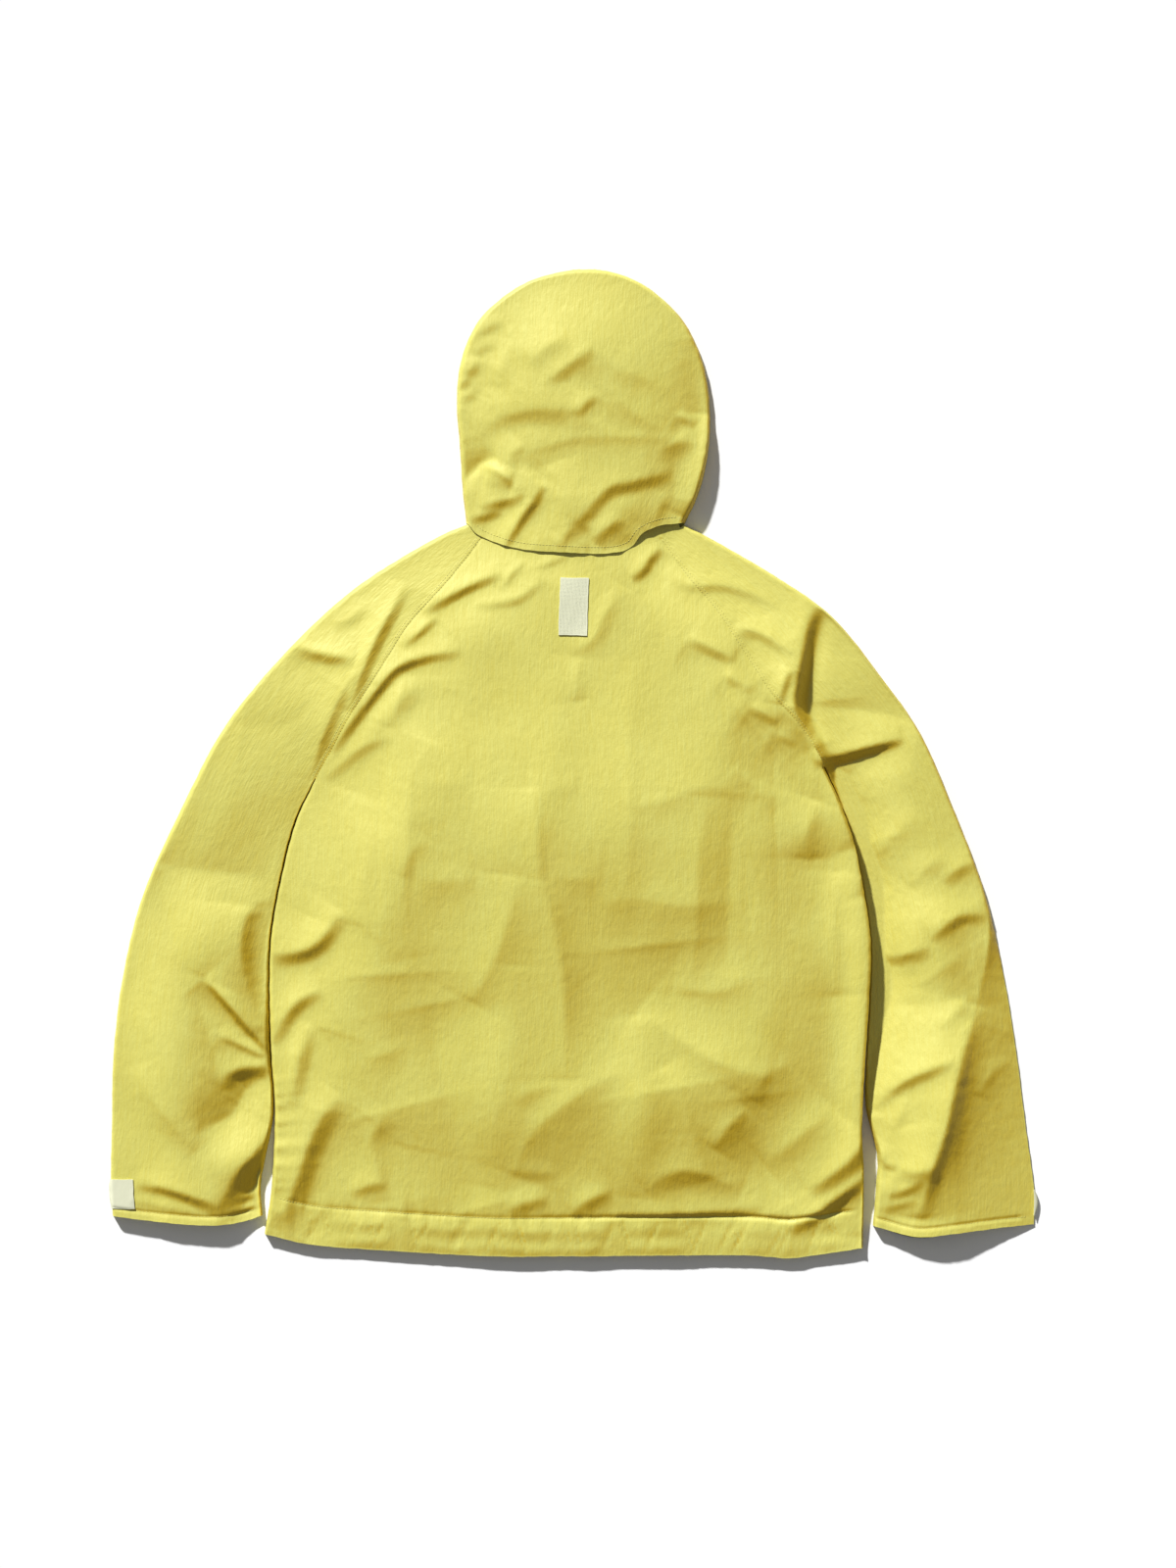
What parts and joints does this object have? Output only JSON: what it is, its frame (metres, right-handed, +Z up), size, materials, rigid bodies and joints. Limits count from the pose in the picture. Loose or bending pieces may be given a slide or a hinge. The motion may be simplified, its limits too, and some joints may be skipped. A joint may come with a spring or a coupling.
{
  "type": "parka",
  "caption": "Hooded raglan shell parka, laid flat on its front with the hood drawn out, back up; open at hem, cuffs, neck and hood.",
  "frame": {"origin": "on the surface that the parka lies on, under the middle of its outline", "axes": "+Y along the back from the hem towards the hood, +X towards the wearer's right sleeve, +Z up, out of the back panel"},
  "size_m": [0.9234, 0.9815, 0.0436],
  "materials": {
    "citron_cloth": "matt, finely crinkled shell cloth",
    "off_white_tape": "matt hook tape",
    "navy_lining": "matt lining"
  },
  "bodies": {
    "root": {"back": "citron_cloth", "front_left": "citron_cloth", "front_right": "citron_cloth", "front_flap": "citron_cloth", "sleeve_left_back": "citron_cloth", "sleeve_left_front": "citron_cloth", "sleeve_right_back": "citron_cloth", "sleeve_right_front": "citron_cloth", "hood_back": "citron_cloth", "hood_side_left": "citron_cloth", "hood_side_right": "citron_cloth", "neck_band": "citron_cloth", "back_patch": "off_white_tape", "cuff_tab_left": "off_white_tape", "cuff_tab_right": "off_white_tape", "cuff_lining_right": "navy_lining"}
  },
  "joints": []
}
